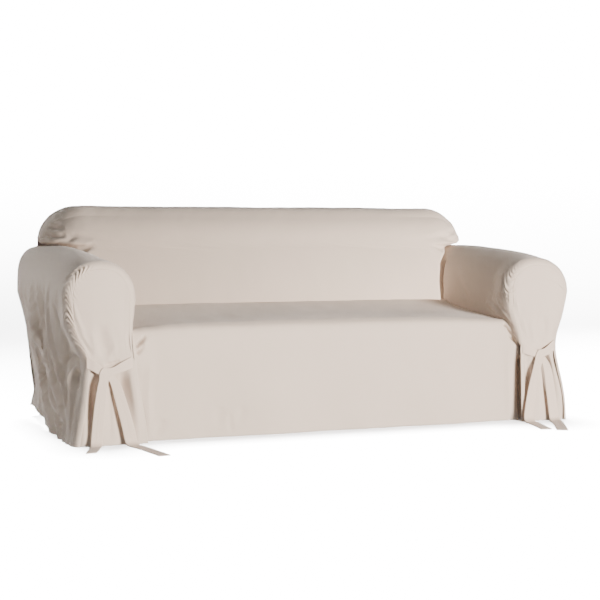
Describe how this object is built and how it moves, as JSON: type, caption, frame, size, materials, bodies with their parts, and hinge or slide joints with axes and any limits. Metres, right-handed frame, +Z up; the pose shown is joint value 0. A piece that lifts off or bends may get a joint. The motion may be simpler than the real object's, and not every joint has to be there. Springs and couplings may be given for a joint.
{
  "type": "sofa slipcover",
  "caption": "Fitted cotton duck slipcover for a sofa with rounded arms: gathered arm fronts, a long skirt, and ties knotted below each arm front.",
  "frame": {"origin": "on the floor, below the centre of the bounding box, free ends of the ties included", "axes": "+Z up, +X along the length to the right as seen from the front, -Y towards the front"},
  "size_m": [2.0748, 1.2142, 0.8644],
  "materials": {
    "duck": "matt plain-woven cotton, natural beige",
    "ties": "matt plain-woven cotton, natural beige"
  },
  "bodies": {
    "root": {"seat_and_skirt": "duck", "inside_back": "duck", "outside_back": "duck", "arm_panel_left": "duck", "arm_panel_right": "duck", "arm_front_left": "duck", "arm_front_right": "duck", "tie_left_outer": "ties", "tie_left_inner": "ties", "tie_right_inner": "ties", "tie_right_outer": "ties"}
  },
  "joints": []
}
